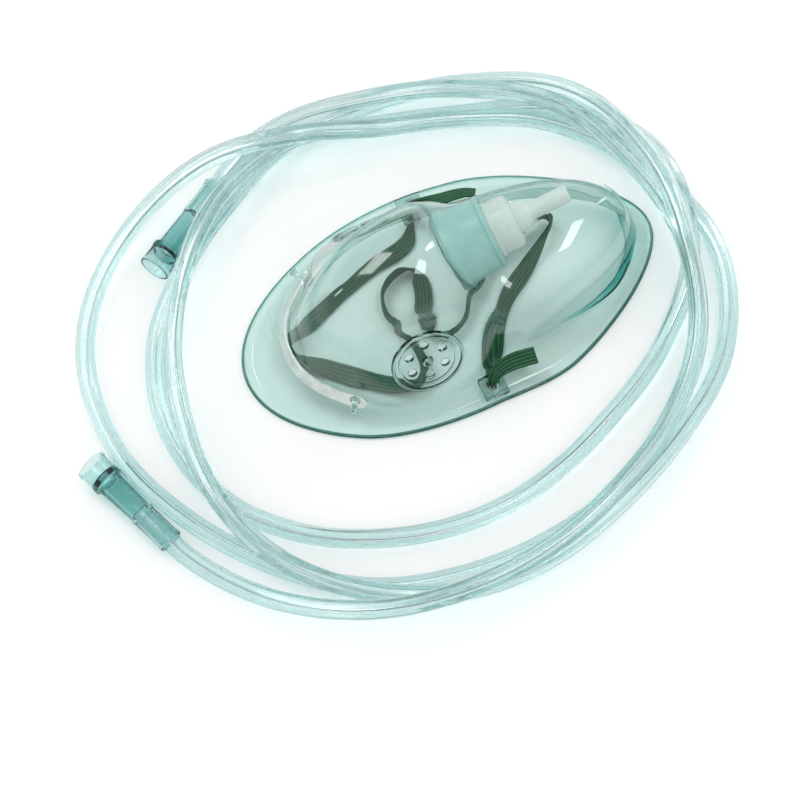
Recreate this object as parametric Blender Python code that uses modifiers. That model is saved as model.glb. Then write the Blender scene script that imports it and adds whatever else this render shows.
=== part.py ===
"""A simple oxygen face mask with its loose coil of supply tubing, in metres with +Z up.

The mask lies face down on its rim at z = 0, nose towards -X and chin towards +X, and is symmetric
about the XZ plane. The inlet neck's axis lies in that plane. The tubing lies round the mask on the
same surface.
"""

import math

import bmesh
import bpy
import numpy as np
from mathutils import Matrix, Vector

MM = 0.001

# Driving dimensions, in millimetres
WALL = 1.2  # moulded shell
NECK_AXIS_POINT = (5.0, 0.0, 37.5)
NECK_TILT = 15.0  # degrees above the horizontal, towards the chin
NECK_ROOT, NECK_MOUTH = -7.5, 7.6  # distances along the axis from its point
NECK_ROOT_RADIUS, NECK_MOUTH_RADIUS, NECK_BORE_RADIUS = 12.0, 10.9, 9.2
BEAD = 0.5  # how far the two beads of the neck stand proud
EAR_X, EAR_Y, EAR_SIZE, EAR_TOP = 0.1, 32.5, 8.0, 4.4
EAR_HOLE_RADIUS = 2.3
VENT_CENTRE = (-18.0, 23.9, 20.5)
VENT_NORMAL = (-0.06, 0.89, 0.445)
VENT_RADIUS, VENT_HOLE_RADIUS, VENT_HOLE_CIRCLE, VENT_HOLES = 11.3, 1.6, 6.6, 6
STUD_FOOT, STUD_TIP = (-40.6, 20.4, 9.4), (-43.4, 25.2, 10.4)
STUD_RADIUS, STUD_HEAD_RADIUS = 0.9, 1.35
CLIP_WIDTH, CLIP_THICKNESS, CLIP_GAP = 5.2, 0.8, 0.45
CLIP_ROUTE = (
    (-38.6, 24.2, 8.8),
    (-41.6, 21.4, 9.0),
    (-46.6, 15.6, 9.2),
    (-50.8, 8.6, 9.4),
    (-52.9, 0.0, 9.6),
)
STRAP_WIDTH, STRAP_THICKNESS = 5.6, 1.0
PLUG_RADIUS, PLUG_STEP_RADIUS, SPIGOT_RADIUS = 8.85, 8.3, 2.75
FITTING_LENGTH = 34.4
MOUTH_RADIUS, FITTING_BORE_RADIUS = 5.05, 2.7
TUBE_RADIUS = 2.95
TUBE_STEP = 18.0  # degrees of the coil between two points of the plain tube

# Half of the shell as columns from the nose to the chin: rim (x, y), crown (x, z), blend of sections
COLUMNS = (
    ((-69.8, 0.0), (-31.0, 45.5), {"nose": 1.0}),
    ((-65.5, 13.2), (-31.0, 45.5), {"nose": 0.8, "dome": 0.2}),
    ((-53.5, 24.5), (-25.0, 48.0), {"nose": 0.5, "dome": 0.5}),
    ((-36.5, 33.6), (-19.0, 49.0), {"nose": 0.1, "dome": 0.9}),
    ((-18.0, 37.3), (-12.0, 49.5), {"dome": 1.0}),
    ((-3.0, 37.9), (-5.0, 48.0), {"dome": 0.2, "waist": 0.8}),
    ((10.0, 37.3), (3.5, 24.5), {"waist": 0.5, "chin": 0.5}),
    ((24.0, 36.3), (18.0, 28.0), {"chin": 1.0}),
    ((41.0, 28.6), (33.0, 31.5), {"chin": 1.0}),
    ((58.0, 18.0), (43.0, 31.5), {"chin": 0.5, "tip": 0.5}),
    ((73.0, 0.0), (44.0, 31.5), {"tip": 1.0}),
)
# Sections from the rim to the crown, as (share of the way in, share of the height)
SECTIONS = {
    "nose": (
        (0.0, 0.0), (0.09, 0.0), (0.22, 0.05), (0.41, 0.13),
        (0.48, 0.32), (0.57, 0.62), (0.78, 0.91), (1.0, 1.0),
    ),
    "dome": (
        (0.0, 0.0), (0.09, 0.0), (0.17, 0.03), (0.26, 0.2),
        (0.4, 0.62), (0.56, 0.88), (0.78, 0.98), (1.0, 1.0),
    ),
    "waist": (
        (0.0, 0.0), (0.09, 0.0), (0.17, 0.03), (0.26, 0.13),
        (0.41, 0.6), (0.56, 0.88), (0.78, 0.98), (1.0, 1.0),
    ),
    "chin": (
        (0.0, 0.0), (0.1, 0.0), (0.24, 0.08), (0.35, 0.17),
        (0.4, 0.55), (0.48, 0.88), (0.72, 0.98), (1.0, 1.0),
    ),
    "tip": (
        (0.0, 0.0), (0.08, 0.0), (0.2, 0.04), (0.29, 0.11),
        (0.37, 0.4), (0.52, 0.7), (0.72, 0.94), (1.0, 1.0),
    ),
}

# The strap's route from the near tail to the far tail, as (x, y, z, share of the width, tilt in degrees)
STRAP_ROUTE = (
    (15.0, -30.4, 9.0, 1.0, 0),
    (8.0, -29.6, 8.4, 1.0, 0),
    (2.4, -30.6, 8.0, 0.8, 0),
    (0.1, -32.3, 6.2, 0.55, 0),
    (0.1, -32.4, 3.4, 0.5, 0),
    (0.2, -31.6, 1.3, 0.5, 0),
    (0.4, -29.2, 0.85, 0.5, 0),
    (4.6, -21.5, 0.9, 1.0, 0),
    (8.4, -14.5, 0.9, 1.0, 0),
    (15.3, -7.1, 1.2, 1.0, 0),
    (26.0, 0.1, 2.7, 1.0, 40),
    (36.0, 8.0, 4.6, 1.0, 90),
    (38.6, 11.0, 5.2, 1.0, 90),
    (36.4, 13.6, 5.0, 1.0, 90),
    (25.5, 9.6, 3.8, 1.0, 90),
    (10.0, 2.0, 3.2, 1.0, 90),
    (0.0, -8.6, 3.2, 1.0, 90),
    (-7.0, -11.6, 3.2, 1.0, 90),
    (-10.7, -8.0, 2.9, 1.0, 60),
    (-9.0, -1.0, 1.3, 1.0, 0),
    (-6.6, 7.0, 1.3, 1.0, 0),
    (-7.4, 12.4, 2.9, 1.0, 60),
    (-12.6, 13.4, 3.2, 1.0, 90),
    (-19.0, 9.0, 3.2, 1.0, 90),
    (-20.9, 1.2, 3.2, 1.0, 90),
    (-17.4, -8.6, 3.2, 1.0, 90),
    (-16.6, -18.0, 3.1, 1.0, 70),
    (-21.0, -22.6, 2.6, 1.0, 40),
    (-30.0, -18.4, 1.5, 1.0, 0),
    (-43.0, -7.6, 1.3, 1.0, 0),
    (-50.4, -0.4, 3.1, 1.0, 70),
    (-51.2, 3.6, 3.2, 1.0, 90),
    (-48.4, 6.4, 3.1, 1.0, 70),
    (-40.8, 10.6, 1.0, 1.0, 0),
    (-30.4, 14.9, 1.0, 1.0, 0),
    (-19.1, 19.3, 1.0, 1.0, 0),
    (-6.0, 22.6, 1.0, 1.0, 0),
    (-0.6, 29.4, 0.8, 0.45, 0),
    (0.2, 31.8, 1.2, 0.45, 0),
    (0.1, 32.4, 3.4, 0.5, 0),
    (0.2, 32.0, 6.2, 0.55, 0),
    (3.2, 30.6, 8.2, 0.7, -10),
    (8.2, 29.2, 8.8, 1.0, -25),
    (13.5, 28.8, 8.8, 1.0, -30),
    (16.8, 28.2, 8.8, 1.0, -35),
    (19.6, 26.8, 8.8, 1.0, -35),
)

# The coil of tubing runs clockwise about COIL_CENTRE, from fitting A to fitting B. Each lap lists the
# tube's (radius, height of its centre) every ROUTE_STEP degrees, starting at LAP_START degrees.
COIL_CENTRE = (-16.6, -11.1)
ROUTE_STEP, LAP_START = 20.0, 97.5
LEAD_IN = (107.5, 83.9, 6.7)  # angle, radius and height between fitting A and the first lap
LAPS = (
    ((84.2, 8.6), (83.2, 9.7), (87.6, 8.2), (91.3, 10.9), (89.7, 10.8), (88.3, 12.8),
     (86.1, 7.5), (79.9, 3.5), (76.2, 3.1), (73.9, 3.1), (74.7, 3.1), (78.2, 3.1),
     (81.5, 3.1), (87.8, 3.1), (96.5, 3.1), (101.0, 3.2), (97.6, 4.6), (87.6, 13.8)),
    ((75.2, 17.1), (72.0, 10.3), (76.5, 8.3), (87.1, 5.7), (94.5, 3.3), (99.8, 3.1),
     (95.2, 3.5), (85.5, 6.7), (80.3, 8.1), (79.6, 6.3), (80.2, 6.5), (80.9, 8.9),
     (80.7, 9.6), (77.8, 9.9), (74.3, 8.1), (73.8, 8.4), (74.0, 13.6), (76.3, 12.9)),
    ((77.8, 9.3), (76.2, 4.4), (80.9, 3.3), (93.5, 3.7), (98.4, 10.1), (91.0, 6.7),
     (75.7, 3.3), (64.2, 3.3), (59.2, 3.1), (58.2, 3.1), (59.4, 3.1), (63.0, 3.1),
     (69.4, 3.1), (76.2, 3.1), (79.6, 3.1), (79.3, 3.5), (75.0, 7.3), (74.8, 6.6)),
    ((80.6, 3.3), (84.1, 3.3), (92.2, 3.6), (98.3, 9.4), (93.0, 17.2), (87.2, 19.1),
     (85.2, 14.0), (80.6, 12.1), (77.5, 13.8), (78.0, 12.5), (81.9, 13.3), (87.4, 11.1),
     (91.8, 4.2)),
)
# Fittings: mouth and sleeve end, each (x, y, z)
FITTINGS = {
    "tube_connector_a": ((-81.9, 42.4, 5.2), (-53.7, 62.3, 4.2)),
    "tube_connector_b": ((-121.4, -10.6, 5.2), (-107.5, -42.1, 4.2)),
}
END_GAP = 0.5  # between the tube's end and a fitting
STRAIGHT_LEAD = 5.0  # how far the tube runs straight out of a fitting


def clear_scene():
    for obj in list(bpy.data.objects):
        bpy.data.objects.remove(obj, do_unlink=True)


def new_collection(name, hidden=False):
    collection = bpy.data.collections.new(name)
    bpy.context.scene.collection.children.link(collection)
    collection.hide_render = hidden
    return collection


def material(name, colour, roughness, transmission=0.0, alpha=1.0):
    made = bpy.data.materials.new(name)
    made.use_nodes = True
    shader = made.node_tree.nodes["Principled BSDF"]
    shader.inputs["Base Color"].default_value = (*colour, 1.0)
    shader.inputs["Roughness"].default_value = roughness
    shader.inputs["Transmission Weight"].default_value = transmission
    shader.inputs["Alpha"].default_value = alpha
    shader.inputs["Metallic"].default_value = 0.0
    return made


def add_object(name, data, collection, look=None):
    obj = bpy.data.objects.new(name, data)
    collection.objects.link(obj)
    if look:
        data.materials.append(look)
    return obj


def mesh_object(name, mesh_maker, collection, look=None):
    """A mesh object made by a function that fills a bmesh."""
    mesh = bpy.data.meshes.new(name)
    bm = bmesh.new()
    mesh_maker(bm)
    bm.to_mesh(mesh)
    bm.free()
    return add_object(name, mesh, collection, look)


def along(origin, direction):
    """The matrix that puts local +Z along a direction at an origin given in millimetres."""
    turn = Vector(direction).to_track_quat("Z", "Y").to_matrix().to_4x4()
    return Matrix.Translation(Vector(origin) * MM) @ turn


def turned(name, profile, origin, direction, collection, look=None, steps=32):
    """A closed turned solid: (radius, distance along the axis) down its outer side, then up its bore."""

    def outline(bm):
        points = [bm.verts.new((radius * MM, 0.0, height * MM)) for radius, height in profile]
        for start, end in zip(points, points[1:] + points[:1]):
            if start.co.x > 0 or end.co.x > 0:
                bm.edges.new((start, end))

    obj = mesh_object(name, outline, collection, look)
    screw = obj.modifiers.new("turn", "SCREW")
    screw.steps = screw.render_steps = steps
    screw.use_merge_vertices = True
    screw.merge_threshold = 0.00001
    screw.use_smooth_shade = True
    obj.matrix_world = along(origin, direction)
    return obj


def cylinder(name, radius, start, end, collection, sides=32):
    """A cylinder between two points given in millimetres."""
    axis = Vector(end) - Vector(start)

    def make(bm):
        bmesh.ops.create_cone(
            bm,
            cap_ends=True,
            segments=sides,
            radius1=radius * MM,
            radius2=radius * MM,
            depth=axis.length * MM,
        )

    obj = mesh_object(name, make, collection)
    obj.matrix_world = along((Vector(start) + Vector(end)) / 2, axis)
    return obj


def as_helper(obj):
    obj.hide_render = True
    obj.display_type = "WIRE"
    return obj


def mirrored(obj, plane):
    mirror = obj.modifiers.new("both sides", "MIRROR")
    mirror.use_axis = (False, True, False)
    mirror.mirror_object = plane
    return obj


def boolean(obj, operation, other):
    cut = obj.modifiers.new(f"{operation.lower()} {other.name}", "BOOLEAN")
    cut.operation = operation
    cut.solver = "EXACT"
    cut.object = as_helper(other)


def neck_point(distance):
    tilt = math.radians(NECK_TILT)
    x, y, z = NECK_AXIS_POINT
    return (x + distance * math.cos(tilt), y, z + distance * math.sin(tilt))


def neck_direction():
    tilt = math.radians(NECK_TILT)
    return (math.cos(tilt), 0.0, math.sin(tilt))


def shell_cage(bm):
    """The half shell: a column of vertices for each of COLUMNS, closed onto the crown line."""
    columns = []
    for (rim_x, rim_y), (crown_x, crown_z), blend in COLUMNS:
        on_plane = rim_y == 0.0
        column = []
        for row in range(len(SECTIONS["dome"]) - on_plane):
            inward = sum(SECTIONS[name][row][0] * share for name, share in blend.items())
            height = sum(SECTIONS[name][row][1] * share for name, share in blend.items())
            x = rim_x + (crown_x - rim_x) * inward
            place = Vector((x, rim_y * (1 - inward), height * crown_z))
            column.append(bm.verts.new(place * MM))
        columns.append(column)
    for left, right in zip(columns, columns[1:]):
        for row in range(min(len(left), len(right)) - 1):
            bm.faces.new((left[row], left[row + 1], right[row + 1], right[row]))
        if len(left) < len(right):
            bm.faces.new((left[-1], right[-1], right[-2]))
        if len(right) < len(left):
            bm.faces.new((left[-2], left[-1], right[-1]))
    crease = bm.edges.layers.float.new("crease_edge")
    for left, right in zip(columns, columns[1:]):
        bm.edges.get((left[1], right[1]))[crease] = 1.0


def neck_solid(collection):
    root, mouth = NECK_ROOT, NECK_MOUTH
    profile = (
        (NECK_MOUTH_RADIUS + BEAD, mouth),
        (NECK_MOUTH_RADIUS + BEAD, mouth - 1.4),
        (NECK_MOUTH_RADIUS, mouth - 1.9),
        (NECK_ROOT_RADIUS, root + 3.3),
        (NECK_ROOT_RADIUS + BEAD, root + 2.8),
        (NECK_ROOT_RADIUS + BEAD, root + 1.2),
        (NECK_ROOT_RADIUS, root),
        (NECK_BORE_RADIUS, root),
        (NECK_BORE_RADIUS, mouth),
    )
    return turned("neck", profile, NECK_AXIS_POINT, neck_direction(), collection)


def vent_frame():
    """The vent's centre and its unit outward normal."""
    return Vector(VENT_CENTRE), Vector(VENT_NORMAL).normalized()


def vent_solid(collection):
    """A flat perforated plate in a raised ring, with a boss in its middle."""
    profile = (
        (0.0, 0.9),
        (1.5, 0.9),
        (1.5, 0.2),
        (VENT_RADIUS - 1.2, 0.2),
        (VENT_RADIUS - 1.2, 1.2),
        (VENT_RADIUS, 1.2),
        (VENT_RADIUS, -4.4),
        (VENT_RADIUS - 1.6, -4.4),
        (VENT_RADIUS - 1.6, -1.2),
        (0.0, -1.2),
    )
    centre, normal = vent_frame()
    return turned("vent", profile, centre, normal, collection, steps=28)


def vent_holes(collection):
    centre, normal = vent_frame()
    across = normal.orthogonal().normalized()
    reach = normal * 4.0
    holes = []
    for number in range(VENT_HOLES):
        turn = Matrix.Rotation(2 * math.pi * number / VENT_HOLES, 3, normal)
        middle = centre + turn @ across * VENT_HOLE_CIRCLE
        name = f"vent_hole_{number + 1}"
        holes.append(
            cylinder(name, VENT_HOLE_RADIUS, middle - reach, middle + reach, collection, 10)
        )
    return holes


def stud_solid(collection):
    foot, tip = Vector(STUD_FOOT), Vector(STUD_TIP)
    length = (tip - foot).length
    profile = (
        (0.0, length),
        (STUD_HEAD_RADIUS * 0.7, length),
        (STUD_HEAD_RADIUS, length - 0.6),
        (STUD_RADIUS, length - 1.4),
        (STUD_RADIUS, 0.0),
        (0.0, 0.0),
    )
    return turned("stud", profile, foot, tip - foot, collection, steps=12)


def ear_solid(collection):
    bottom = 2.0

    def make(bm):
        bmesh.ops.create_cube(bm, size=1.0)

    pad = mesh_object("ear_pad", make, collection)
    pad.scale = (EAR_SIZE * MM, EAR_SIZE * MM, (EAR_TOP - bottom) * MM)
    pad.location = (EAR_X * MM, EAR_Y * MM, (EAR_TOP + bottom) / 2 * MM)
    return pad


def mask_shell(parts, helpers, plane, look):
    shell = mesh_object("mask_shell", shell_cage, parts, look)
    mirror = shell.modifiers.new("both halves", "MIRROR")
    mirror.use_axis = (False, True, False)
    mirror.use_clip = True
    mirror.merge_threshold = 0.00001
    smooth = shell.modifiers.new("smooth", "SUBSURF")
    smooth.levels = smooth.render_levels = 2
    wall = shell.modifiers.new("wall", "SOLIDIFY")
    wall.thickness = WALL * MM
    wall.offset = 1.0
    centre, normal = vent_frame()
    inner, outer = centre - normal * 8, centre + normal * 7
    opening = cylinder("vent_opening", VENT_RADIUS - 0.8, inner, outer, helpers, 28)
    boolean(shell, "DIFFERENCE", mirrored(opening, plane))
    boolean(shell, "UNION", mirrored(vent_solid(helpers), plane))
    boolean(shell, "UNION", mirrored(ear_solid(helpers), plane))
    boolean(shell, "UNION", mirrored(stud_solid(helpers), plane))
    back, front = neck_point(-14.0), neck_point(14.0)
    neck_hole = cylinder("neck_hole", NECK_BORE_RADIUS + 0.9, back, front, helpers)
    boolean(shell, "DIFFERENCE", neck_hole)
    boolean(shell, "UNION", neck_solid(helpers))
    for hole in vent_holes(helpers):
        boolean(shell, "DIFFERENCE", mirrored(hole, plane))
    below, above = (EAR_X, EAR_Y, -2.0), (EAR_X, EAR_Y, 8.0)
    ear_hole = cylinder("ear_hole", EAR_HOLE_RADIUS, below, above, helpers, 20)
    boolean(shell, "DIFFERENCE", mirrored(ear_hole, plane))
    return shell


def spread(knots, spacing):
    """Points about `spacing` apart on a smooth curve through knots of (x, y, z, any other values)."""
    knots = np.array(knots, float)
    gaps = np.linalg.norm(np.diff(knots[:, :3], axis=0), axis=1)
    at = np.concatenate(([0.0], np.cumsum(gaps)))
    return curve_through(at, knots, np.linspace(0.0, at[-1], int(at[-1] / spacing) + 1))


def curve_through(at, values, wanted):
    """Cubic Hermite interpolation with finite-difference slopes."""
    slopes = np.empty_like(values)
    slopes[1:-1] = (values[2:] - values[:-2]) / (at[2:] - at[:-2])[:, None]
    slopes[0] = (values[1] - values[0]) / (at[1] - at[0])
    slopes[-1] = (values[-1] - values[-2]) / (at[-1] - at[-2])
    found = []
    for here in wanted:
        i = min(max(int(np.searchsorted(at, here, side="right")) - 1, 0), len(at) - 2)
        span = at[i + 1] - at[i]
        s = (here - at[i]) / span
        found.append(
            (2 * s**3 - 3 * s**2 + 1) * values[i]
            + (s**3 - 2 * s**2 + s) * span * slopes[i]
            + (3 * s**2 - 2 * s**3) * values[i + 1]
            + (s**3 - s**2) * span * slopes[i + 1]
        )
    return np.array(found)


def nose_clip(parts, helpers, plane, look):
    """A strip laid on the nose's outer wall from stud to stud, slotted onto both studs."""
    form = as_helper(mesh_object("shell_form", shell_cage, helpers))
    mirrored(form, plane)
    smooth = form.modifiers.new("smooth", "SUBSURF")
    smooth.levels = smooth.render_levels = 3
    middle = spread(CLIP_ROUTE, 2.0)
    middle = np.vstack([middle * (1, -1, 1), middle[-2::-1]])
    rows = 4

    def strip(bm):
        grid = []
        for number, (x, y, z) in enumerate(middle):
            from_end = min(number, len(middle) - 1 - number)
            half = CLIP_WIDTH / 2 * (0.62, 0.9)[from_end] if from_end < 2 else CLIP_WIDTH / 2
            offsets = [half * (2 * row / rows - 1) for row in range(rows + 1)]
            grid.append([bm.verts.new((x * MM, y * MM, (z + offset) * MM)) for offset in offsets])
        for left, right in zip(grid, grid[1:]):
            for row in range(rows):
                bm.faces.new((left[row], left[row + 1], right[row + 1], right[row]))

    clip = mesh_object("nose_clip", strip, parts, look)
    wrap = clip.modifiers.new("on the wall", "SHRINKWRAP")
    wrap.target = form
    wrap.wrap_mode = "ABOVE_SURFACE"
    wrap.offset = (WALL + CLIP_GAP) * MM
    thick = clip.modifiers.new("thickness", "SOLIDIFY")
    thick.thickness = CLIP_THICKNESS * MM
    thick.offset = 1.0
    foot, tip = Vector(STUD_FOOT), Vector(STUD_TIP)
    slot = cylinder("clip_slot", STUD_HEAD_RADIUS + 0.35, foot, tip + (tip - foot), helpers, 16)
    boolean(clip, "DIFFERENCE", mirrored(slot, plane))
    return clip


def strap_sides(route):
    """A unit vector across the band at each knot: level, then tilted, never turning over in a hole."""
    points = np.array([knot[:3] for knot in route], float)
    ahead = np.gradient(points, axis=0)
    sides, last = [], None
    for direction, (*_, tilt) in zip(ahead, route):
        direction = Vector(direction).normalized()
        level = Vector((-direction.y, direction.x, 0.0))
        if level.length < 0.4:
            level = last
        if last and level.dot(last) < 0:
            level = -level
        last = level.normalized()
        sides.append(Matrix.Rotation(math.radians(tilt), 3, direction) @ last)
    return sides


def elastic_strap(parts, helpers, plane, look):
    sides = strap_sides(STRAP_ROUTE)
    knots = [(*knot[:4], *side) for knot, side in zip(STRAP_ROUTE, sides)]

    def band(bm):
        edges = []
        for x, y, z, share, *side in spread(knots, 3.0):
            half = Vector(side).normalized() * STRAP_WIDTH / 2 * share
            middle = Vector((x, y, z))
            edges.append([bm.verts.new((middle + half * way) * MM) for way in (-1, 0, 1)])
        for back, front in zip(edges, edges[1:]):
            for column in (0, 1):
                near, far = back[column : column + 2], front[column : column + 2]
                bm.faces.new((near[0], far[0], far[1], near[1]))

    strap = mesh_object("elastic_strap", band, parts, look)
    thick = strap.modifiers.new("thickness", "SOLIDIFY")
    thick.thickness = STRAP_THICKNESS * MM
    thick.offset = 0.0

    def ball(bm):
        bmesh.ops.create_uvsphere(bm, u_segments=12, v_segments=8, radius=2.7 * MM)

    knot = mesh_object("strap_knot", ball, helpers)
    knot.scale.z = 0.6
    knot.location = (EAR_X * MM, EAR_Y * MM, (EAR_TOP + 2.1) * MM)
    boolean(strap, "UNION", mirrored(knot, plane))
    return strap


def inlet_connector(parts, look):
    """The swivelling adapter: a hollow plug in the neck, a stepped shoulder and a spigot."""
    step = NECK_MOUTH + 7.7
    tip = step + 17.1
    profile = (
        (1.9, tip),
        (SPIGOT_RADIUS - 0.2, tip - 0.3),
        (SPIGOT_RADIUS, tip - 0.9),
        (SPIGOT_RADIUS, step + 5.2),
        (3.1, step + 4.4),
        (4.4, step + 2.8),
        (4.7, step + 2.2),
        (4.7, step + 0.2),
        (6.6, step),
        (7.7, step - 0.5),
        (PLUG_STEP_RADIUS, step - 1.5),
        (PLUG_STEP_RADIUS, NECK_MOUTH + 0.4),
        (PLUG_RADIUS, NECK_MOUTH - 0.4),
        (PLUG_RADIUS, NECK_MOUTH - 9.0),
        (PLUG_RADIUS - 1.4, NECK_MOUTH - 9.0),
        (PLUG_STEP_RADIUS - 1.5, step - 2.0),
        (3.0, step - 1.2),
        (1.5, step + 2.0),
        (1.5, tip),
    )
    return turned("inlet_connector", profile, NECK_AXIS_POINT, neck_direction(), parts, look, 32)


def fitting(name, parts, look):
    """A funnel for the tubing's end: a thin cup, a collar, a tapered body and a sleeve."""
    mouth, sleeve = (Vector(point) for point in FITTINGS[name])
    length = FITTING_LENGTH
    profile = (
        (3.2, length),
        (3.75, length - 0.3),
        (3.9, length - 0.9),
        (3.9, length - 11.6),
        (3.65, length - 12.0),
        (4.15, 8.2),
        (4.9, 7.4),
        (4.9, 6.4),
        (MOUTH_RADIUS - 0.1, 5.6),
        (MOUTH_RADIUS, 0.4),
        (MOUTH_RADIUS - 0.2, 0.0),
        (MOUTH_RADIUS - 0.7, 0.0),
        (MOUTH_RADIUS - 0.9, 5.8),
        (FITTING_BORE_RADIUS, 7.4),
        (FITTING_BORE_RADIUS, length),
    )
    return turned(name, profile, mouth, sleeve - mouth, parts, look, 24)


def fitting_exit(name, beyond):
    """(angle, radius, height) about the coil's centre of a point beyond a fitting's sleeve."""
    mouth, sleeve = (Vector(point) for point in FITTINGS[name])
    end = mouth + (sleeve - mouth).normalized() * (FITTING_LENGTH + beyond)
    x, y = end.x - COIL_CENTRE[0], end.y - COIL_CENTRE[1]
    return math.degrees(math.atan2(y, x)), math.hypot(x, y), end.z


def coil_route():
    """The knots of the whole tube as (angle, radius, height), clockwise from fitting A to fitting B."""
    laps = [pair for lap in LAPS for pair in lap]
    knots = [fitting_exit("tube_connector_a", beyond) for beyond in (END_GAP, STRAIGHT_LEAD)]
    knots.append(LEAD_IN)
    knots += [(LAP_START - ROUTE_STEP * number, *pair) for number, pair in enumerate(laps)]
    for beyond in (STRAIGHT_LEAD, END_GAP):
        angle, radius, height = fitting_exit("tube_connector_b", beyond)
        knots.append((angle - 360.0 * round((angle - knots[-1][0]) / 360.0), radius, height))
    return np.array(knots)


def coil_points(step):
    """Points of the tube's centre line in millimetres, one every `step` degrees."""
    route = coil_route()
    turned_by = route[0, 0] - route[:, 0]
    wanted = np.linspace(0.0, turned_by[-1], round(turned_by[-1] / step) + 1)
    wanted = np.union1d(wanted, turned_by[[1, -2]])
    radius, height = curve_through(turned_by, route[:, 1:], wanted).T
    angle = np.radians(route[0, 0] - wanted)
    x, y = COIL_CENTRE
    return np.column_stack([x + radius * np.cos(angle), y + radius * np.sin(angle), height])


def oxygen_tube(parts, look):
    points = coil_points(TUBE_STEP)
    curve = bpy.data.curves.new("oxygen_tube", "CURVE")
    curve.dimensions = "3D"
    curve.bevel_depth = TUBE_RADIUS * MM
    curve.bevel_resolution = 2
    curve.use_fill_caps = True
    spline = curve.splines.new("POLY")
    spline.points.add(len(points) - 1)
    for point, place in zip(spline.points, points):
        point.co = (*(place * MM), 1.0)
    return add_object("oxygen_tube", curve, parts, look)


def main():
    clear_scene()
    parts = new_collection("oxygen_face_mask")
    helpers = new_collection("cutters and forms", hidden=True)
    plane = add_object("mirror_plane", None, helpers)
    shell_look = material("clear_teal_pvc", (0.45, 0.72, 0.66), 0.12, 0.6, 0.45)
    mask_shell(parts, helpers, plane, shell_look)
    nose_clip(parts, helpers, plane, material("soft_aluminium", (0.78, 0.80, 0.79), 0.4))
    elastic_strap(parts, helpers, plane, material("green_elastic", (0.03, 0.14, 0.09), 0.85))
    inlet_connector(parts, material("milky_plastic", (0.74, 0.80, 0.80), 0.3, 0.0, 0.9))
    fitting_look = material("teal_plastic", (0.10, 0.45, 0.42), 0.2, 0.4, 0.8)
    for name in FITTINGS:
        fitting(name, parts, fitting_look)
    oxygen_tube(parts, material("clear_tubing", (0.60, 0.76, 0.74), 0.15, 0.5, 0.6))


main()
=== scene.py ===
"""The looks of a simple oxygen face mask and its loose coil of supply tubing.

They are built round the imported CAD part. Lengths are in millimetres until MM turns them into
metres. +X runs from the nose to the chin, +Z up.
"""

import math

import bmesh
import bpy
import numpy as np
from mathutils import Matrix, Vector


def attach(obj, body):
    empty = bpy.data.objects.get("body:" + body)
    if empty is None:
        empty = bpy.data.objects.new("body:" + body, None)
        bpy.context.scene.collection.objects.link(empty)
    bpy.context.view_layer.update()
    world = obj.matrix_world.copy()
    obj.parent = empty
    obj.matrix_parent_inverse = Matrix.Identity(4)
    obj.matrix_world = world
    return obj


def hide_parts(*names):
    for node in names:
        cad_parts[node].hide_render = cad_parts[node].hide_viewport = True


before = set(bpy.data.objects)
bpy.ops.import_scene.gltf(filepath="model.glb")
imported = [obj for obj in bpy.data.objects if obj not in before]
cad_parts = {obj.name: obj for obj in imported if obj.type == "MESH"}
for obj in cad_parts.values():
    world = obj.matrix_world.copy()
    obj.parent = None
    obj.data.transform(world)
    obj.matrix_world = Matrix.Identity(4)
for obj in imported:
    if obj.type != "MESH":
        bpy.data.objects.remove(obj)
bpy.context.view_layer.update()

MM = 0.001
SCENE = bpy.context.scene
SCENE.view_settings.view_transform = "Standard"
SCENE.cycles.max_bounces = 40
SCENE.cycles.transmission_bounces = 36
SCENE.cycles.transparent_max_bounces = 64

# ------------------------------------------------------------------ sizes shared with the CAD part
WALL = 1.2
NECK_AXIS_POINT, NECK_TILT = (5.0, 0.0, 37.5), 15.0
NECK_ROOT, NECK_MOUTH = -7.5, 7.6
NECK_ROOT_RADIUS, NECK_MOUTH_RADIUS, NECK_BORE_RADIUS = 12.0, 10.9, 9.2
EAR_X, EAR_Y, EAR_SIZE, EAR_TOP, EAR_HOLE_RADIUS = 0.1, 32.5, 8.0, 4.4, 2.3
VENT_CENTRE, VENT_NORMAL = (-18.0, 23.9, 20.5), (-0.06, 0.89, 0.445)
VENT_RADIUS = 11.3
STUD_FOOT, STUD_TIP = (-40.6, 20.4, 9.4), (-43.4, 25.2, 10.4)
CLIP_WIDTH, CLIP_THICKNESS, CLIP_GAP = 5.2, 0.7, 0.45
CLIP_ROUTE = (
    (-38.6, 24.2, 8.8),
    (-41.6, 21.4, 9.0),
    (-46.6, 15.6, 9.2),
    (-50.8, 8.6, 9.4),
    (-52.9, 0.0, 9.6),
)
STRAP_WIDTH, STRAP_THICKNESS = 5.6, 0.9
FITTING_LENGTH = 34.4
TUBE_RADIUS = 2.95

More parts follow.
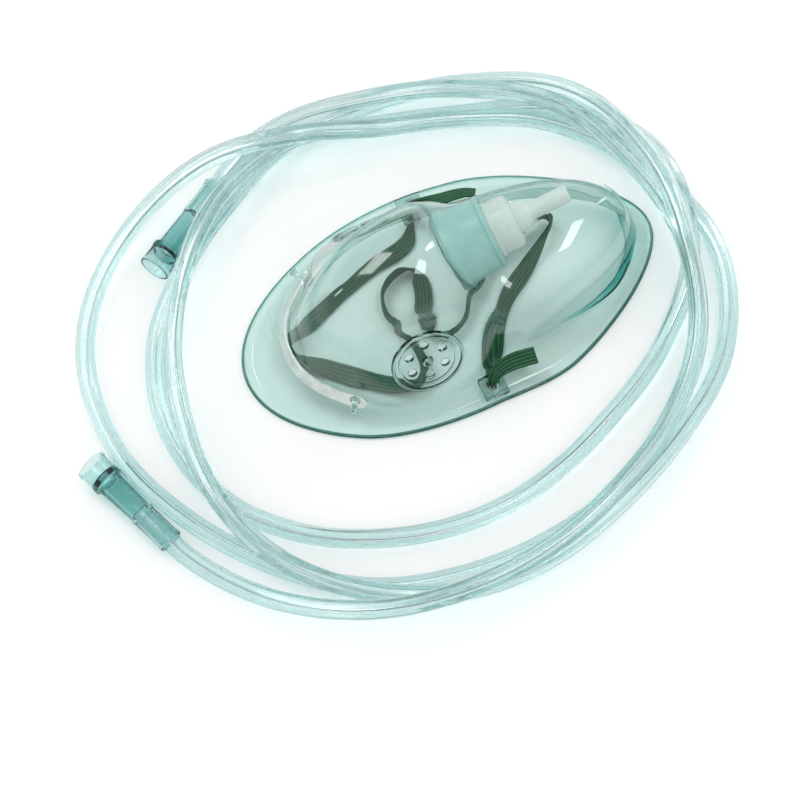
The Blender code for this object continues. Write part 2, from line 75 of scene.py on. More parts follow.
# Half of the shell as columns from nose to chin: rim (x, y), crown (x, z), blend of sections
COLUMNS = (
    ((-69.8, 0.0), (-31.0, 45.5), {"nose": 1.0}),
    ((-65.5, 13.2), (-31.0, 45.5), {"nose": 0.8, "dome": 0.2}),
    ((-53.5, 24.5), (-25.0, 48.0), {"nose": 0.5, "dome": 0.5}),
    ((-36.5, 33.6), (-19.0, 49.0), {"nose": 0.1, "dome": 0.9}),
    ((-18.0, 37.3), (-12.0, 49.5), {"dome": 1.0}),
    ((-3.0, 37.9), (-5.0, 48.0), {"dome": 0.2, "waist": 0.8}),
    ((10.0, 37.3), (3.5, 24.5), {"waist": 0.5, "chin": 0.5}),
    ((24.0, 36.3), (18.0, 28.0), {"chin": 1.0}),
    ((41.0, 28.6), (33.0, 31.5), {"chin": 1.0}),
    ((58.0, 18.0), (43.0, 31.5), {"chin": 0.5, "tip": 0.5}),
    ((73.0, 0.0), (44.0, 31.5), {"tip": 1.0}),
)
# Sections from the rim to the crown, as (share of the way in, share of the height)
SECTIONS = {
    "nose": (
        (0.0, 0.0), (0.09, 0.0), (0.22, 0.05), (0.41, 0.13),
        (0.48, 0.32), (0.57, 0.62), (0.78, 0.91), (1.0, 1.0),
    ),
    "dome": (
        (0.0, 0.0), (0.09, 0.0), (0.17, 0.03), (0.26, 0.2),
        (0.4, 0.62), (0.56, 0.88), (0.78, 0.98), (1.0, 1.0),
    ),
    "waist": (
        (0.0, 0.0), (0.09, 0.0), (0.17, 0.03), (0.26, 0.13),
        (0.41, 0.6), (0.56, 0.88), (0.78, 0.98), (1.0, 1.0),
    ),
    "chin": (
        (0.0, 0.0), (0.1, 0.0), (0.24, 0.08), (0.35, 0.17),
        (0.4, 0.55), (0.48, 0.88), (0.72, 0.98), (1.0, 1.0),
    ),
    "tip": (
        (0.0, 0.0), (0.08, 0.0), (0.2, 0.04), (0.29, 0.11),
        (0.37, 0.4), (0.52, 0.7), (0.72, 0.94), (1.0, 1.0),
    ),
}

# The strap's route, near tail to far tail: (x, y, z, share of the width, tilt in degrees)
STRAP_ROUTE = (
    (15.0, -30.4, 9.0, 1.0, 0),
    (8.0, -29.6, 8.4, 1.0, 0),
    (2.4, -30.6, 8.0, 0.8, 0),
    (0.1, -32.3, 6.2, 0.55, 0),
    (0.1, -32.4, 3.4, 0.5, 0),
    (0.2, -31.6, 1.3, 0.5, 0),
    (0.4, -29.2, 0.85, 0.5, 0),
    (4.6, -21.5, 0.9, 1.0, 0),
    (8.4, -14.5, 0.9, 1.0, 0),
    (15.3, -7.1, 1.2, 1.0, 0),
    (26.0, 0.1, 2.7, 1.0, 40),
    (36.0, 8.0, 4.6, 1.0, 90),
    (38.6, 11.0, 5.2, 1.0, 90),
    (36.4, 13.6, 5.0, 1.0, 90),
    (25.5, 9.6, 3.8, 1.0, 90),
    (10.0, 2.0, 3.2, 1.0, 90),
    (0.0, -8.6, 3.2, 1.0, 90),
    (-7.0, -11.6, 3.2, 1.0, 90),
    (-10.7, -8.0, 2.9, 1.0, 60),
    (-9.0, -1.0, 1.3, 1.0, 0),
    (-6.6, 7.0, 1.3, 1.0, 0),
    (-7.4, 12.4, 2.9, 1.0, 60),
    (-12.6, 13.4, 3.2, 1.0, 90),
    (-19.0, 9.0, 3.2, 1.0, 90),
    (-20.9, 1.2, 3.2, 1.0, 90),
    (-17.4, -8.6, 3.2, 1.0, 90),
    (-16.6, -18.0, 3.1, 1.0, 70),
    (-21.0, -22.6, 2.6, 1.0, 40),
    (-30.0, -18.4, 1.5, 1.0, 0),
    (-43.0, -7.6, 1.3, 1.0, 0),
    (-50.4, -0.4, 3.1, 1.0, 70),
    (-51.2, 3.6, 3.2, 1.0, 90),
    (-48.4, 6.4, 3.1, 1.0, 70),
    (-40.8, 10.6, 1.0, 1.0, 0),
    (-30.4, 14.9, 1.0, 1.0, 0),
    (-19.1, 19.3, 1.0, 1.0, 0),
    (-6.0, 22.6, 1.0, 1.0, 0),
    (-0.6, 29.4, 0.8, 0.45, 0),
    (0.2, 31.8, 1.2, 0.45, 0),
    (0.1, 32.4, 3.4, 0.5, 0),
    (0.2, 32.0, 6.2, 0.55, 0),
    (3.2, 30.6, 8.2, 0.7, -10),
    (8.2, 29.2, 8.8, 1.0, -25),
    (13.5, 28.8, 8.8, 1.0, -30),
    (16.8, 28.2, 8.8, 1.0, -35),
    (19.6, 26.8, 8.8, 1.0, -35),
)

# The coil of tubing, as (radius, height) every ROUTE_STEP degrees clockwise about COIL_CENTRE
COIL_CENTRE = (-16.6, -11.1)
ROUTE_STEP, LAP_START = 20.0, 97.5
LEAD_IN = (107.5, 83.9, 6.7)
LAPS = (
    ((84.2, 8.6), (83.2, 9.7), (87.6, 8.2), (91.3, 10.9), (89.7, 10.8), (88.3, 12.8),
     (86.1, 7.5), (79.9, 3.5), (76.2, 3.1), (73.9, 3.1), (74.7, 3.1), (78.2, 3.1),
     (81.5, 3.1), (87.8, 3.1), (96.5, 3.1), (101.0, 3.2), (97.6, 4.6), (87.6, 13.8)),
    ((75.2, 17.1), (72.0, 10.3), (76.5, 8.3), (87.1, 5.7), (94.5, 3.3), (99.8, 3.1),
     (95.2, 3.5), (85.5, 6.7), (80.3, 8.1), (79.6, 6.3), (80.2, 6.5), (80.9, 8.9),
     (80.7, 9.6), (77.8, 9.9), (74.3, 8.1), (73.8, 8.4), (74.0, 13.6), (76.3, 12.9)),
    ((77.8, 9.3), (76.2, 4.4), (80.9, 3.3), (93.5, 3.7), (98.4, 10.1), (91.0, 6.7),
     (75.7, 3.3), (64.2, 3.3), (59.2, 3.1), (58.2, 3.1), (59.4, 3.1), (63.0, 3.1),
     (69.4, 3.1), (76.2, 3.1), (79.6, 3.1), (79.3, 3.5), (75.0, 7.3), (74.8, 6.6)),
    ((80.6, 3.3), (84.1, 3.3), (92.2, 3.6), (98.3, 9.4), (93.0, 17.2), (87.2, 19.1),
     (85.2, 14.0), (80.6, 12.1), (77.5, 13.8), (78.0, 12.5), (81.9, 13.3), (87.4, 11.1),
     (91.8, 4.2)),
)
FITTINGS = {
    "tube_connector_a": ((-81.9, 42.4, 5.2), (-53.7, 62.3, 4.2)),
    "tube_connector_b": ((-121.4, -10.6, 5.2), (-107.5, -42.1, 4.2)),
}
FITTING_STEPS = 72
TUBE_GAP, STRAIGHT_LEAD = 0.5, 5.0  # from a fitting's end to the first two knots of the route
TUBE_INSIDE = 12.0  # how far the tube goes into a fitting's sleeve
TUBE_POINTS, TUBE_SIDES = 900, 40
# The star bore: its middle radius, the height of its five ribs and of the waves between them
STAR_RADIUS, STAR_RIB, STAR_WAVE, STAR_RIBS = 1.25, 0.42, 0.12, 5
# The tube's twist: radians per millimetre, then a slow wave of radians and millimetres
TWIST_RATE, TWIST_WAVE, TWIST_LENGTH = 0.0035, 0.5, 110.0

# The fold at the foot of the chin bowl: its line, its height and its half sizes
CHIN_FOOT = (
    (59.2, 16.0), (60.9, 11.0), (61.2, 5.5), (60.2, 0.0), (57.6, -6.0), (53.4, -11.4),
    (47.6, -16.4), (41.0, -19.2), (34.0, -20.6), (28.0, -20.9), (22.5, -20.8),
)
FOOT_HEIGHT, FOOT_HALF_WIDTH, FOOT_HALF_DEPTH = 4.7, 1.8, 1.3
# The rounded lip: its radius at the near and far side, how far it stands up and in from the edge
LIP_SPAN, LIP_RADII, LIP_UP, LIP_IN = (-30.0, 30.0), (0.52, 0.3), 0.58, 0.1
# How far the soft shell has settled sideways, as (x, y shift)
SETTLED = (
    (-80.0, -1.9), (-40.0, -1.9), (-14.0, -0.5), (2.0, 0.3),
    (26.0, -0.2), (50.0, 0.6), (80.0, 0.8),
)
# The wall by a vent is flat inside the first radius and as moulded beyond the second
VENT_FLAT, VENT_BLEND = 12.2, 25.0
VENT_REACH = 9.0  # only the wall this near to a vent's plane is flattened
SEAT_BOTTOM, SEAT_RISE = 2.0, 7.0  # where flattening starts, and how far above it is full
VENT_HOLES, VENT_HOLE_CIRCLE, VENT_HOLE_RADIUS = 6, 6.0, 1.45
NECK_HOLE_MARGIN, NECK_HOLE_REACH = 0.9, 14.0
STRAP_COLUMNS, STRAP_STEP = 41, 0.7
STRAP_RIBS, STRAP_RIB, STRAP_CURL = 5, 0.12, 0.9
CLIP_STEP, CLIP_ROWS, CLIP_END = 1.2, 8, 2.4
PVC_IOR, MILKY_IOR = 1.5, 1.45


# ------------------------------------------------------------------ small tools
def settled(x):
    """How far the shell has moved along Y at x."""
    return float(np.interp(x, *zip(*SETTLED)))


def curve_through(at, values, wanted):
    """Cubic Hermite interpolation with finite-difference slopes."""
    slopes = np.empty_like(values)
    slopes[1:-1] = (values[2:] - values[:-2]) / (at[2:] - at[:-2])[:, None]
    slopes[0] = (values[1] - values[0]) / (at[1] - at[0])
    slopes[-1] = (values[-1] - values[-2]) / (at[-1] - at[-2])
    i = np.clip(np.searchsorted(at, wanted, side="right") - 1, 0, len(at) - 2)
    span = (at[i + 1] - at[i])[:, None]
    s = ((wanted - at[i]) / (at[i + 1] - at[i]))[:, None]
    return (
        (2 * s**3 - 3 * s**2 + 1) * values[i]
        + (s**3 - 2 * s**2 + s) * span * slopes[i]
        + (3 * s**2 - 2 * s**3) * values[i + 1]
        + (s**3 - s**2) * span * slopes[i + 1]
    )


def travelled_to(points):
    """The distance along a line of points to each of them."""
    gaps = np.linalg.norm(np.diff(points, axis=0), axis=1)
    return np.concatenate(([0.0], np.cumsum(gaps)))


def unit_rows(vectors):
    return vectors / np.linalg.norm(vectors, axis=1)[:, None]


def spread(knots, spacing):
    """The smooth line through the knots, with a point about every `spacing` millimetres."""
    knots = np.array(knots, float)
    at = travelled_to(knots[:, :3])
    return curve_through(at, knots, np.linspace(0.0, at[-1], int(at[-1] / spacing) + 1))


def add_mesh(name, points, faces, look=None, sharp=None):
    mesh = bpy.data.meshes.new(name)
    mesh.from_pydata([tuple(point) for point in np.asarray(points, float) * MM], [], faces)
    mesh.shade_smooth()
    if sharp:
        mesh.set_sharp_from_angle(angle=math.radians(sharp))
    if look:
        mesh.materials.append(look)
    obj = bpy.data.objects.new(name, mesh)
    SCENE.collection.objects.link(obj)
    return obj


def frame_matrix(origin, direction):
    turn = Vector(direction).to_track_quat("Z", "Y").to_matrix().to_4x4()
    return Matrix.Translation(Vector(origin) * MM) @ turn


def turned(name, profile, origin, direction, look=None, steps=72, sharp=40):
    """A closed turned solid from (radius, distance along), down its outside and up its bore."""
    points, faces, rings = [], [], []
    for radius, height in profile:
        if radius < 1e-6:
            rings.append([len(points)])
            points.append((0.0, 0.0, height))
            continue
        rings.append(list(range(len(points), len(points) + steps)))
        for k in range(steps):
            angle = 2 * math.pi * k / steps
            points.append((radius * math.cos(angle), radius * math.sin(angle), height))
    for upper, lower in zip(rings, rings[1:] + rings[:1]):
        if len(upper) == 1 and len(lower) == 1:
            continue
        for k in range(steps):
            n = (k + 1) % steps
            if len(upper) == 1:
                faces.append((upper[0], lower[k], lower[n]))
            elif len(lower) == 1:
                faces.append((upper[k], lower[0], upper[n]))
            else:
                faces.append((upper[k], lower[k], lower[n], upper[n]))
    obj = add_mesh(name, points, faces, look, sharp)
    obj.data.transform(frame_matrix(origin, direction))
    return obj


def rounded(profile, radius, parts=3):
    """The profile with each of its corners rounded by up to `radius`."""
    points = [Vector(p) for p in profile]
    made = []
    for before, here, after in zip(points[-1:] + points[:-1], points, points[1:] + points[:1]):
        back, ahead = before - here, after - here
        if here.x < 1e-6 or back.length < 1e-6 or ahead.length < 1e-6:
            made.append(tuple(here))
            continue
        cut = min(radius, back.length * 0.45, ahead.length * 0.45)
        start, end = here + back.normalized() * cut, here + ahead.normalized() * cut
        for k in range(parts + 1):
            t = k / parts
            made.append(tuple((1 - t) ** 2 * start + 2 * t * (1 - t) * here + t * t * end))
    return made


def cylinder(name, radius, start, end, sides=64):
    axis = Vector(end) - Vector(start)
    profile = ((0.0, axis.length), (radius, axis.length), (radius, 0.0), (0.0, 0.0))
    return turned(name, profile, start, axis, steps=sides)


def mirrored_copy(obj, name):
    copy = obj.copy()
    copy.data = obj.data.copy()
    copy.name = name
    copy.data.transform(Matrix.Diagonal((1, -1, 1, 1)))
    copy.data.flip_normals()
    SCENE.collection.objects.link(copy)
    return copy


def both_sides(obj):
    return [obj, mirrored_copy(obj, obj.name + "_far")]


def settled_pair(obj):
    """Both sides of a stud or its slot, moved with the settled nose."""
    pair = both_sides(obj)
    for one in pair:
        one.data.transform(Matrix.Translation((0, settled(STUD_FOOT[0]) * MM, 0)))
    return pair


def apply_boolean(obj, operation, others):
    """Applies one exact Boolean with all of `others`, then removes them."""
    cutters = bpy.data.collections.new("cutters")
    for other in others:
        for home in list(other.users_collection):
            home.objects.unlink(other)
        cutters.objects.link(other)
    SCENE.collection.children.link(cutters)
    change = obj.modifiers.new("boolean", "BOOLEAN")
    change.operation = operation
    change.solver = "EXACT"
    change.operand_type = "COLLECTION"
    change.collection = cutters
    bake_modifiers(obj)
    for other in others:
        bpy.data.objects.remove(other)
    bpy.data.collections.remove(cutters)


def bake_modifiers(obj):
    """Replaces the object's mesh with what its modifiers make."""
    graph = bpy.context.evaluated_depsgraph_get()
    mesh = bpy.data.meshes.new_from_object(obj.evaluated_get(graph), depsgraph=graph)
    obj.modifiers.clear()
    obj.data = mesh


def neck_point(distance):
    tilt = math.radians(NECK_TILT)
    x, y, z = NECK_AXIS_POINT
    return (x + distance * math.cos(tilt), y, z + distance * math.sin(tilt))


def neck_direction():
    tilt = math.radians(NECK_TILT)
    return (math.cos(tilt), 0.0, math.sin(tilt))


# ------------------------------------------------------------------ materials
MIX_A, MIX_B, MIX_RESULT = 6, 7, 2  # the colour sockets of a Mix node
RIB_PERIOD, PICK_PERIOD = 1.12, 0.55  # millimetres from one rib or cross thread to the next


def node_material(name):
    made = bpy.data.materials.new(name)
    made.use_nodes = True
    tree = made.node_tree
    return made, tree, tree.nodes["Principled BSDF"], tree.nodes["Material Output"]


def noise(tree, scale, detail=3.0):
    """A noise in object space; scale is in repeats per metre."""
    place = tree.nodes.new("ShaderNodeTexCoord")
    texture = tree.nodes.new("ShaderNodeTexNoise")
    texture.inputs["Scale"].default_value = scale
    texture.inputs["Detail"].default_value = detail
    tree.links.new(place.outputs["Object"], texture.inputs["Vector"])
    return texture.outputs["Fac"]


def ranged(tree, value, low, high):
    """A noise's middle range, 0.3 to 0.7, spread over low to high."""
    node = tree.nodes.new("ShaderNodeMapRange")
    node.inputs["From Min"].default_value = 0.3
    node.inputs["From Max"].default_value = 0.7
    node.inputs["To Min"].default_value = low
    node.inputs["To Max"].default_value = high
    tree.links.new(value, node.inputs["Value"])
    return node.outputs["Result"]


def blended(tree, factor, first, second):
    """The colour from first to second as factor goes from 0 to 1."""
    mix = tree.nodes.new("ShaderNodeMix")
    mix.data_type = "RGBA"
    mix.inputs[MIX_A].default_value = (*first, 1.0)
    mix.inputs[MIX_B].default_value = (*second, 1.0)
    tree.links.new(factor, mix.inputs["Factor"])
    return mix.outputs[MIX_RESULT]


def bump(tree, shader, height, distance):
    node = tree.nodes.new("ShaderNodeBump")
    node.inputs["Strength"].default_value = 1.0
    node.inputs["Distance"].default_value = distance
    tree.links.new(height, node.inputs["Height"])
    tree.links.new(node.outputs["Normal"], shader.inputs["Normal"])


def clear_plastic(name, absorbed, density, roughness, ripple=0.00003, ripple_scale=60.0):
    """Clear plastic tinted by how far light travels in it. Its shadows are nearly clear too."""
    made, tree, shader, output = node_material(name)
    shader.inputs["Base Color"].default_value = (1, 1, 1, 1)
    shader.inputs["Transmission Weight"].default_value = 1.0
    shader.inputs["IOR"].default_value = PVC_IOR
    tree.links.new(ranged(tree, noise(tree, 220.0), *roughness), shader.inputs["Roughness"])
    bump(tree, shader, noise(tree, ripple_scale, 2.0), ripple)
    rays = tree.nodes.new("ShaderNodeLightPath")
    clear = tree.nodes.new("ShaderNodeBsdfTransparent")
    clear.inputs["Color"].default_value = (0.95, 0.95, 0.95, 1.0)
    mix = tree.nodes.new("ShaderNodeMixShader")
    tree.links.new(rays.outputs["Is Shadow Ray"], mix.inputs["Fac"])
    tree.links.new(shader.outputs["BSDF"], mix.inputs[1])
    tree.links.new(clear.outputs["BSDF"], mix.inputs[2])
    tree.links.new(mix.outputs["Shader"], output.inputs["Surface"])
    volume = tree.nodes.new("ShaderNodeVolumeAbsorption")
    volume.inputs["Color"].default_value = (*absorbed, 1.0)
    volume.inputs["Density"].default_value = density
    tree.links.new(volume.outputs["Volume"], output.inputs["Volume"])
    return made


def milky_plastic(name, colour, darker, opacity, roughness):
    """Thin milky plastic that what is behind it shows through."""
    made, tree, shader, _ = node_material(name)
    tone = blended(tree, ranged(tree, noise(tree, 160.0), 0.0, 1.0), darker, colour)
    tree.links.new(tone, shader.inputs["Base Color"])
    tree.links.new(ranged(tree, noise(tree, 500.0), *roughness), shader.inputs["Roughness"])
    shader.inputs["Alpha"].default_value = opacity
    shader.inputs["IOR"].default_value = MILKY_IOR
    bump(tree, shader, noise(tree, 90.0, 2.0), 0.00004)
    return made


def soft_metal(name):
    made, tree, shader, _ = node_material(name)
    shader.inputs["Metallic"].default_value = 1.0
    patches = ranged(tree, noise(tree, 300.0), 0.0, 1.0)
    tone = blended(tree, patches, (0.70, 0.73, 0.71), (0.90, 0.92, 0.90))
    tree.links.new(tone, shader.inputs["Base Color"])
    tree.links.new(ranged(tree, noise(tree, 120.0), 0.3, 0.5), shader.inputs["Roughness"])
    bump(tree, shader, noise(tree, 400.0, 4.0), 0.00008)
    return made


def elastic(name):
    """Woven elastic. UV x runs across the band and y along it, both in millimetres."""
    made, tree, shader, _ = node_material(name)
    uv = tree.nodes.new("ShaderNodeUVMap")
    split = tree.nodes.new("ShaderNodeSeparateXYZ")
    tree.links.new(uv.outputs["UV"], split.inputs["Vector"])

    def wave(value, period, phase=0.0):
        scale = tree.nodes.new("ShaderNodeMath")
        scale.operation = "MULTIPLY_ADD"
        scale.inputs[1].default_value = 2 * math.pi / period
        scale.inputs[2].default_value = phase
        tree.links.new(value, scale.inputs[0])
        sine = tree.nodes.new("ShaderNodeMath")
        sine.operation = "SINE"
        tree.links.new(scale.outputs[0], sine.inputs[0])
        lift = tree.nodes.new("ShaderNodeMath")
        lift.operation = "MULTIPLY_ADD"
        lift.inputs[1].default_value = 0.5
        lift.inputs[2].default_value = 0.5
        tree.links.new(sine.outputs[0], lift.inputs[0])
        return lift.outputs[0]

    ribs = wave(split.outputs["X"], RIB_PERIOD, math.pi / 2)
    picks = wave(split.outputs["Y"], PICK_PERIOD)
    both = tree.nodes.new("ShaderNodeMath")
    both.operation = "MULTIPLY"
    tree.links.new(ribs, both.inputs[0])
    tree.links.new(picks, both.inputs[1])
    # the colour is lighter on the rib tops and darker in the grooves between them, in step with
    # the moulded ribs: painted shade in the grooves
    groove_shaded_green = blended(tree, ribs, (0.003, 0.035, 0.016), (0.030, 0.160, 0.070))
    tone = tree.nodes.new("ShaderNodeMix")
    tone.data_type = "RGBA"
    tone.blend_type = "MULTIPLY"
    tone.inputs["Factor"].default_value = 0.55
    tree.links.new(groove_shaded_green, tone.inputs[MIX_A])
    tree.links.new(ranged(tree, noise(tree, 900.0), 0.5, 1.3), tone.inputs[MIX_B])
    tree.links.new(tone.outputs[MIX_RESULT], shader.inputs["Base Color"])
    shader.inputs["Roughness"].default_value = 0.8
    shader.inputs["Sheen Weight"].default_value = 0.1
    shader.inputs["Sheen Roughness"].default_value = 0.5
    shader.inputs["Sheen Tint"].default_value = (0.35, 0.75, 0.5, 1.0)
    bump(tree, shader, both.outputs[0], 0.00015)
    return made


LOOKS = {
    "shell": clear_plastic("clear_teal_pvc", (0.17, 0.53, 0.46), 300.0, (0.02, 0.05)),
    # far denser than the shell's tint: painted shade for the dark rim edge
    "rim": clear_plastic("teal_rim_painted_shade", (0.0, 0.56, 0.50), 2300.0, (0.03, 0.08)),
    # far denser than the shell's tint: painted shade for the dark crescent at the foot of the chin
    # bowl
    "foot": clear_plastic("teal_fold_painted_shade", (0.0, 0.74, 0.72), 1100.0, (0.04, 0.10)),
    "tube": clear_plastic(
        "clear_tubing", (0.28, 0.64, 0.63), 130.0, (0.08, 0.16), ripple=0.00002, ripple_scale=140.0
    ),
    "fitting": clear_plastic("teal_plastic", (0.0, 0.55, 0.53), 420.0, (0.05, 0.12)),
    "neck": milky_plastic(
        "frosted_teal_neck", (0.34, 0.60, 0.56), (0.27, 0.53, 0.49), 0.80, (0.28, 0.38)
    ),
    "inlet": milky_plastic(
        "milky_adapter", (0.66, 0.78, 0.74), (0.58, 0.71, 0.68), 0.72, (0.20, 0.30)
    ),
    "clip": soft_metal("soft_aluminium_strip"),
    "strap": elastic("green_woven_elastic"),
}


# ------------------------------------------------------------------ camera, light and floor
def camera():
    data = bpy.data.cameras.new("camera")
    data.lens, data.sensor_width = 95.9, 36.0
    data.clip_start, data.clip_end = 0.01, 20.0
    target, distance = Vector((-0.02735, -0.0250, 0.0)), 0.65
    back = Vector((-0.1371, -0.3311, 0.9336)).normalized()
    up = Vector((0.3573, 0.8625, 0.3584))
    right = up.cross(back).normalized()
    up = back.cross(right)
    obj = bpy.data.objects.new("camera", data)
    turn = Matrix((right, up, back)).transposed().to_4x4()
    obj.matrix_world = Matrix.Translation(target + back * distance) @ turn
    SCENE.collection.objects.link(obj)
    SCENE.camera = obj


def softbox(name, place, aim, size, power):
    data = bpy.data.lights.new(name, "AREA")
    data.shape = "RECTANGLE"
    data.size, data.size_y = size
    data.energy = power
    obj = bpy.data.objects.new(name, data)
    obj.location = place
    obj.rotation_mode = "QUATERNION"
    obj.rotation_quaternion = (Vector(aim) - Vector(place)).to_track_quat("-Z", "Y")
    SCENE.collection.objects.link(obj)


def studio():
    world = bpy.data.worlds.new("studio")
    world.use_nodes = True
    background = world.node_tree.nodes["Background"]
    background.inputs["Color"].default_value = (0.99, 1.0, 0.99, 1.0)
    background.inputs["Strength"].default_value = 0.80
    SCENE.world = world
    softbox("key", (-0.45, 0.6, 1.2), (0, 0, 0), (0.6, 0.4), 4.5)
    softbox("top", (0.35, -0.2, 1.4), (0, 0, 0), (0.5, 0.3), 3.0)
    softbox("strip", (0.9, 0.35, 0.55), (0, 0, 0.02), (0.08, 0.8), 1.6)
    made, tree, shader, _ = node_material("pale_floor")
    shader.inputs["Base Color"].default_value = (0.94, 0.94, 0.94, 1.0)
    shader.inputs["Specular IOR Level"].default_value = 0.1
    tree.links.new(ranged(tree, noise(tree, 40.0), 0.75, 0.85), shader.inputs["Roughness"])
    side, height = 3000.0, -0.15
    corners = [
        (x * side, y * side, height) for x, y in ((-1, -1), (1, -1), (1, 1), (-1, 1))
    ]
    floor = add_mesh("floor", corners, [(0, 1, 2, 3)], made)


# ------------------------------------------------------------------ tubing
def fitting_axis(name):
    mouth, sleeve = (Vector(point) for point in FITTINGS[name])
    return mouth, (sleeve - mouth).normalized()


def coil_polar(point):
    x, y = point.x - COIL_CENTRE[0], point.y - COIL_CENTRE[1]
    return math.degrees(math.atan2(y, x)), math.hypot(x, y), point.z


def tube_path():
    """Points of the tube's centre line from inside fitting A's sleeve to inside fitting B's."""
    laps = [pair for lap in LAPS for pair in lap]
    exits = {}
    for name in FITTINGS:
        mouth, ahead = fitting_axis(name)
        exits[name] = [
            coil_polar(mouth + ahead * (FITTING_LENGTH + beyond))
            for beyond in (TUBE_GAP, STRAIGHT_LEAD)
        ]
    knots = [*exits["tube_connector_a"], LEAD_IN]
    knots += [(LAP_START - ROUTE_STEP * number, *pair) for number, pair in enumerate(laps)]
    for angle, radius, height in reversed(exits["tube_connector_b"]):
        knots.append((angle - 360.0 * round((angle - knots[-1][0]) / 360.0), radius, height))
    route = np.array(knots)
    turned_by = route[0, 0] - route[:, 0]
    wanted = np.linspace(0.0, turned_by[-1], TUBE_POINTS)
    radius, height = curve_through(turned_by, route[:, 1:], wanted).T
    angle = np.radians(route[0, 0] - wanted)
    x, y = COIL_CENTRE
    middle = np.column_stack([x + radius * np.cos(angle), y + radius * np.sin(angle), height])
    ends = {}
    for name in FITTINGS:
        mouth, ahead = fitting_axis(name)
        depths = FITTING_LENGTH - TUBE_INSIDE + np.linspace(0.0, TUBE_INSIDE - 1.0, 6)
        ends[name] = np.array([mouth + ahead * float(depth) for depth in depths])
    return np.vstack([ends["tube_connector_a"], middle, ends["tube_connector_b"][::-1]])


def tube_frames(path):
    """A pair of unit vectors across the path at each point, carried along without twisting."""
    ahead = unit_rows(np.gradient(path, axis=0))
    first = np.cross(ahead[0], (0, 0, 1.0))
    sides = [first / np.linalg.norm(first)]
    for direction in ahead[1:]:
        side = sides[-1] - direction * np.dot(sides[-1], direction)
        sides.append(side / np.linalg.norm(side))
    sides = np.array(sides)
    return sides, np.cross(ahead, sides)


def oxygen_tube():
    """The tube as one closed wall: its round outside and the star bore."""
    path = tube_path()
    sides, ups = tube_frames(path)
    around = TUBE_SIDES
    angles = np.linspace(0.0, 2 * math.pi, around, endpoint=False)
    ribs, waves = np.cos(STAR_RIBS * angles), np.cos(2 * STAR_RIBS * angles)
    star = STAR_RADIUS + STAR_RIB * ribs + STAR_WAVE * waves
    outer = np.full(around, TUBE_RADIUS)
    travelled = travelled_to(path)
    twist = TWIST_RATE * travelled + TWIST_WAVE * np.sin(travelled / TWIST_LENGTH)
    points, faces = [], []
    for radii in (outer, star):
        for middle, side, up, turn in zip(path, sides, ups, twist):
            points.append(
                middle
                + (radii * np.cos(angles + turn))[:, None] * side
                + (radii * np.sin(angles + turn))[:, None] * up
            )
    points = np.vstack(points)
    rings = len(path)
    inside = rings * around
    for ring in range(rings - 1):
        for k in range(around):
            n = (k + 1) % around
            a, b = ring * around + k, ring * around + n
            faces.append((a, b, b + around, a + around))
            a, b = a + inside, b + inside
            faces.append((b, a, a + around, b + around))
    last = (rings - 1) * around
    for k in range(around):
        n = (k + 1) % around
        faces.append((n, k, k + inside, n + inside))
        faces.append((last + k, last + n, last + n + inside, last + k + inside))
    tube = add_mesh("oxygen_tubing", points, faces, LOOKS["tube"], 50)
    return tube, path


def fitting(name, piece):
    mouth, ahead = fitting_axis(name)
    end = FITTING_LENGTH
    profile = (
        (3.25, end),
        (3.7, end),
        (3.95, end - 0.35),
        (3.95, end - 1.3),
        (3.72, end - 1.7),
        (3.72, end - 11.4),
        (3.9, end - 11.7),
        (3.9, end - 12.5),
        (3.55, end - 12.9),
        (4.0, 9.0),
        (4.2, 8.2),
        (4.95, 7.9),
        (5.05, 7.6),
        (5.05, 6.2),
        (4.85, 5.8),
        (4.85, 1.3),
        (5.05, 0.9),
        (5.05, 0.15),
        (4.9, 0.0),
        (4.35, 0.0),
        (4.15, 5.8),
        (2.3, 7.2),
        (2.3, end - TUBE_INSIDE - 1.0),
        (3.05, end - TUBE_INSIDE - 0.6),
        (3.05, end - 0.2),
    )
    outline = rounded(profile, 0.2)
    return turned(piece, outline, mouth, ahead, LOOKS["fitting"], FITTING_STEPS, 35)


def tubing_set():
    tube, path = oxygen_tube()
    ends = [fitting("tube_connector_a", "funnel_a"), fitting("tube_connector_b", "funnel_b")]
    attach(tube, "tubing")
    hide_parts("oxygen_tube")
    for end, node in zip(ends, FITTINGS):
        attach(end, "tubing")
        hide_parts(node)


# ------------------------------------------------------------------ mask
def shell_cage():
    """Vertices, faces and creased edges of the half shell, with a column for each of COLUMNS."""
    points, faces, columns = [], [], []
    for (rim_x, rim_y), (crown_x, crown_z), blend in COLUMNS:
        column = []
        for row in range(len(SECTIONS["dome"]) - (rim_y == 0.0)):
            inward = sum(SECTIONS[name][row][0] * share for name, share in blend.items())
            height = sum(SECTIONS[name][row][1] * share for name, share in blend.items())
            column.append(len(points))
            points.append(
                (rim_x + (crown_x - rim_x) * inward, rim_y * (1 - inward), height * crown_z)
            )
        columns.append(column)
    for left, right in zip(columns, columns[1:]):
        for row in range(min(len(left), len(right)) - 1):
            faces.append((left[row], left[row + 1], right[row + 1], right[row]))
        if len(left) < len(right):
            faces.append((left[-1], right[-1], right[-2]))
        if len(right) < len(left):
            faces.append((left[-2], left[-1], right[-1]))
    creases = [(left[1], right[1]) for left, right in zip(columns, columns[1:])]
    return points, faces, creases


